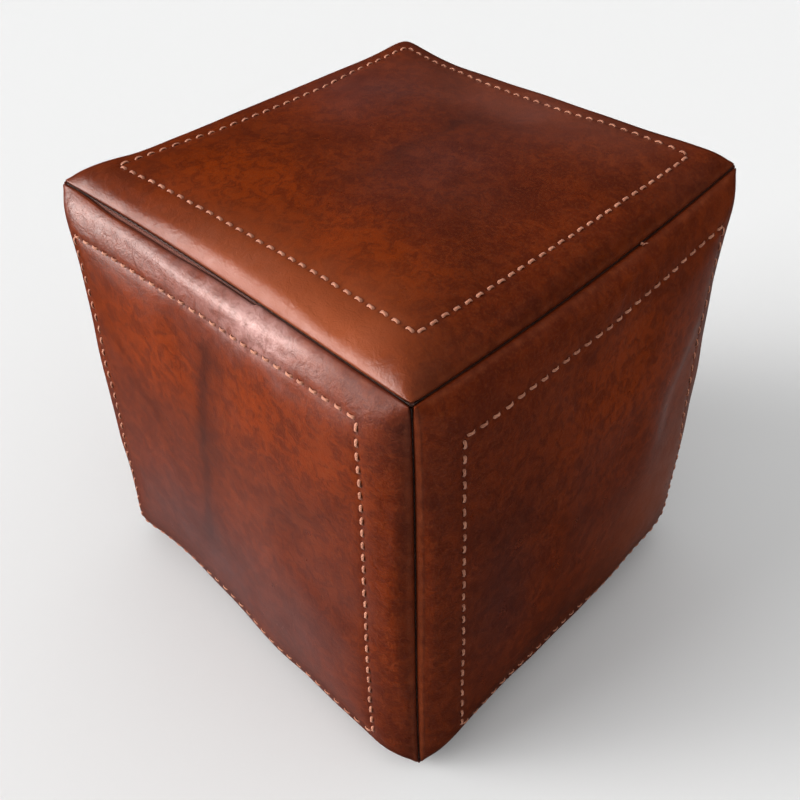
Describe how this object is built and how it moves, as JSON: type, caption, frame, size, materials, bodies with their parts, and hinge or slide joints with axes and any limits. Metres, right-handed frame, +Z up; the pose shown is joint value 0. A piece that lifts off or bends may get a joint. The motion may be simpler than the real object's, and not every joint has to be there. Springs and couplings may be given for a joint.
{
  "type": "moroccan leather pouf",
  "caption": "Square stuffed leather pouf with hand-stitched borders, recessed seams and a zip across its base; used as a footstool or low seat.",
  "frame": {"origin": "centre of the footprint's bounding box, on the plane the pouf stands on", "axes": "+Z up, -Y out of the front panel, +X out of the right panel; the base zip runs along Y"},
  "size_m": [0.4488, 0.4438, 0.4469],
  "materials": {
    "waxed_tan_leather": "waxed satin, mottled",
    "dark_woven_strip": "woven tape",
    "cream_thread": "twisted cotton",
    "brown_thread": "waxed twisted cotton",
    "calico": "plain weave",
    "cotton_wadding": "loose fibre",
    "zip_tape": "woven tape",
    "zip_nylon": "satin nylon",
    "antique_brass": "antiqued"
  },
  "bodies": {
    "pouf": {"back_panel": "waxed_tan_leather", "base_panel_left": "waxed_tan_leather", "base_panel_right": "waxed_tan_leather", "front_panel": "waxed_tan_leather", "inner_bag": "calico", "left_panel": "waxed_tan_leather", "right_panel": "waxed_tan_leather", "seam_strip_back_left": "dark_woven_strip", "seam_strip_back_right": "dark_woven_strip", "seam_strip_base": "dark_woven_strip", "seam_strip_front_left": "dark_woven_strip", "seam_strip_front_right": "dark_woven_strip", "seam_strip_top": "dark_woven_strip", "seam_thread_back_left": "brown_thread", "seam_thread_back_right": "brown_thread", "seam_thread_base": "brown_thread", "seam_thread_front_left": "brown_thread", "seam_thread_front_right": "brown_thread", "seam_thread_top": "brown_thread", "stitching_back": "cream_thread", "stitching_front": "cream_thread", "stitching_left": "cream_thread", "stitching_right": "cream_thread", "stitching_top": "cream_thread", "stuffing": "cotton_wadding", "top_panel": "waxed_tan_leather", "zip_back_stop": "antique_brass", "zip_coil_left": "zip_nylon", "zip_coil_right": "zip_nylon", "zip_front_stop_left": "antique_brass", "zip_front_stop_right": "antique_brass", "zip_stitching_left": "brown_thread", "zip_stitching_right": "brown_thread", "zip_tape_left": "zip_tape", "zip_tape_right": "zip_tape"},
    "slider": {"zip_slider": "antique_brass"},
    "pull": {"zip_pull": "antique_brass"}
  },
  "joints": [
    {"name": "zip_slide", "type": "slide", "parent": "pouf", "child": "slider", "axis": [0, 1, 0], "range_m": [0, 0.298]},
    {"name": "pull_swing", "type": "hinge", "parent": "slider", "child": "pull", "pos_m": [0, -0.15, 0.0034], "axis": [-1, 0, 0], "range_deg": [0, 170]}
  ]
}
